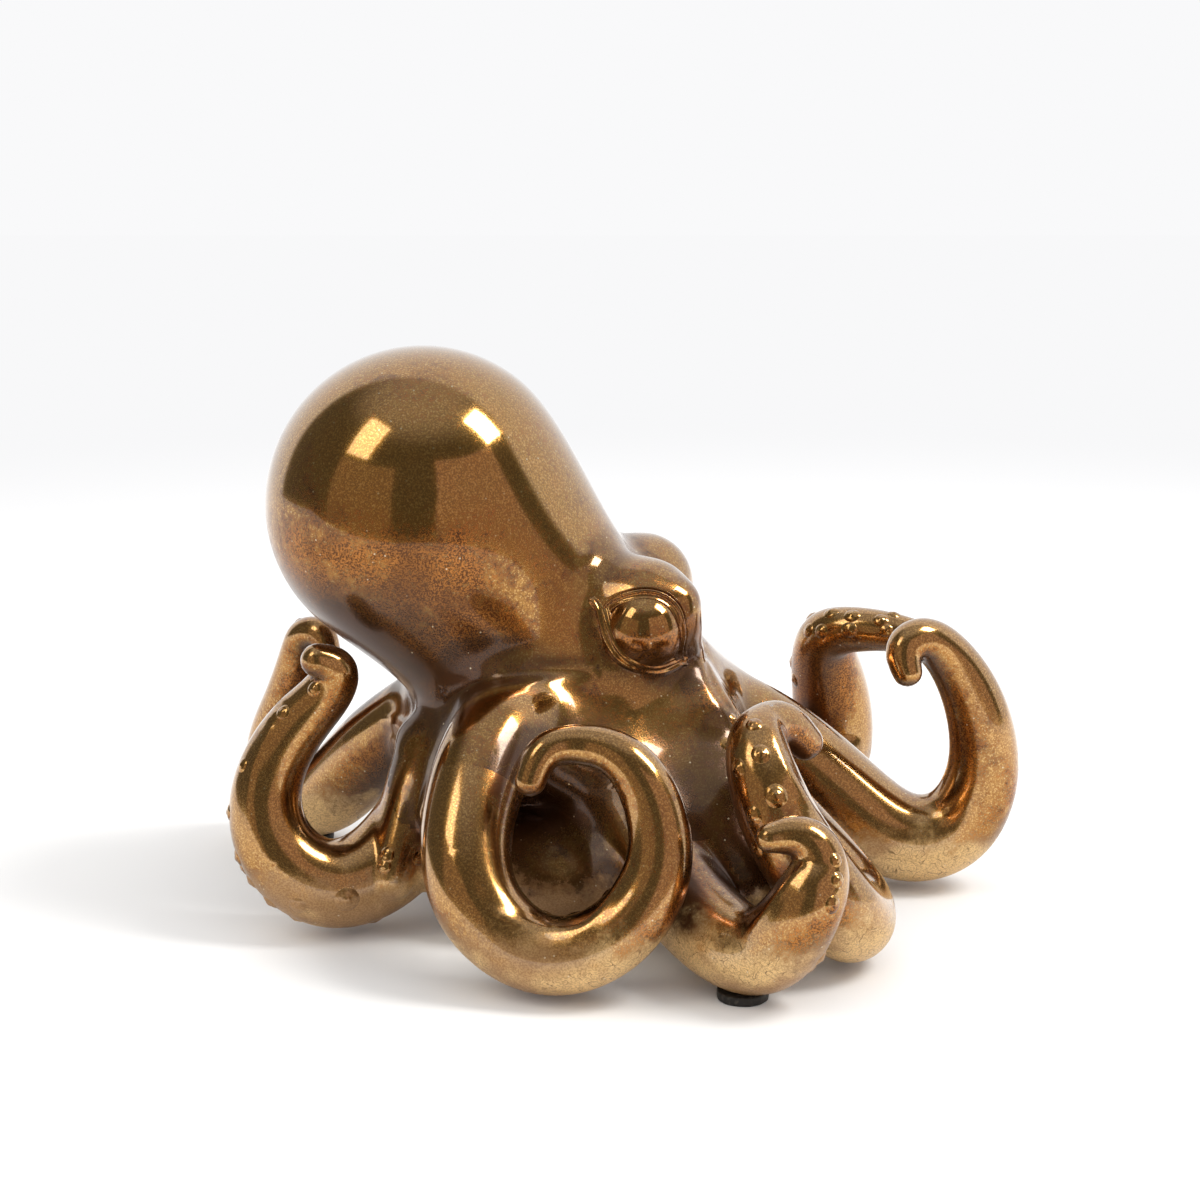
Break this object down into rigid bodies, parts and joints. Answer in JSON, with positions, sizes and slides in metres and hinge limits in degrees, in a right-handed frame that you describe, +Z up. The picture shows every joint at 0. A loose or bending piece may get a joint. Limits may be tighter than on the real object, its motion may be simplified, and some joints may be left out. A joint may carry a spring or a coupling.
{
  "type": "octopus figurine",
  "caption": "Hollow-cast stoneware octopus with a tall tilted mantle, bulging lidded eyes and curled suckered arms, standing on rubber bumpers.",
  "frame": {"origin": "on the surface that the figurine stands on, below the middle of its outline", "axes": "+Z up, +X the way the octopus looks, its right arms at -Y and its left arms at +Y"},
  "size_m": [0.2718, 0.2492, 0.188],
  "materials": {
    "body_glaze": "glossy bronze lustre glaze, fine mottled grain",
    "arm_glaze": "bronze lustre glaze, duller and tan towards the floor",
    "sucker_glaze": "bronze lustre glaze",
    "eye_glaze": "smooth glossy bronze lustre glaze",
    "bumper_rubber": "matt black"
  },
  "bodies": {
    "root": {"body": "body_glaze", "arm_right_1": "arm_glaze", "suckers_right_1": "sucker_glaze", "arm_right_2": "arm_glaze", "suckers_right_2": "sucker_glaze", "arm_right_3": "arm_glaze", "suckers_right_3": "sucker_glaze", "arm_right_4": "arm_glaze", "suckers_right_4": "sucker_glaze", "arm_left_1": "arm_glaze", "suckers_left_1": "sucker_glaze", "arm_left_2": "arm_glaze", "suckers_left_2": "sucker_glaze", "arm_left_3": "arm_glaze", "suckers_left_3": "sucker_glaze", "arm_left_4": "arm_glaze", "suckers_left_4": "sucker_glaze", "right_eyeball": "eye_glaze", "right_upper_eyelid": "body_glaze", "right_lower_eyelid": "body_glaze", "left_eyeball": "eye_glaze", "left_upper_eyelid": "body_glaze", "left_lower_eyelid": "body_glaze", "pad_right_2": "bumper_rubber", "pad_left_2": "bumper_rubber", "pad_left_3": "bumper_rubber", "pad_left_4": "bumper_rubber"}
  },
  "joints": []
}
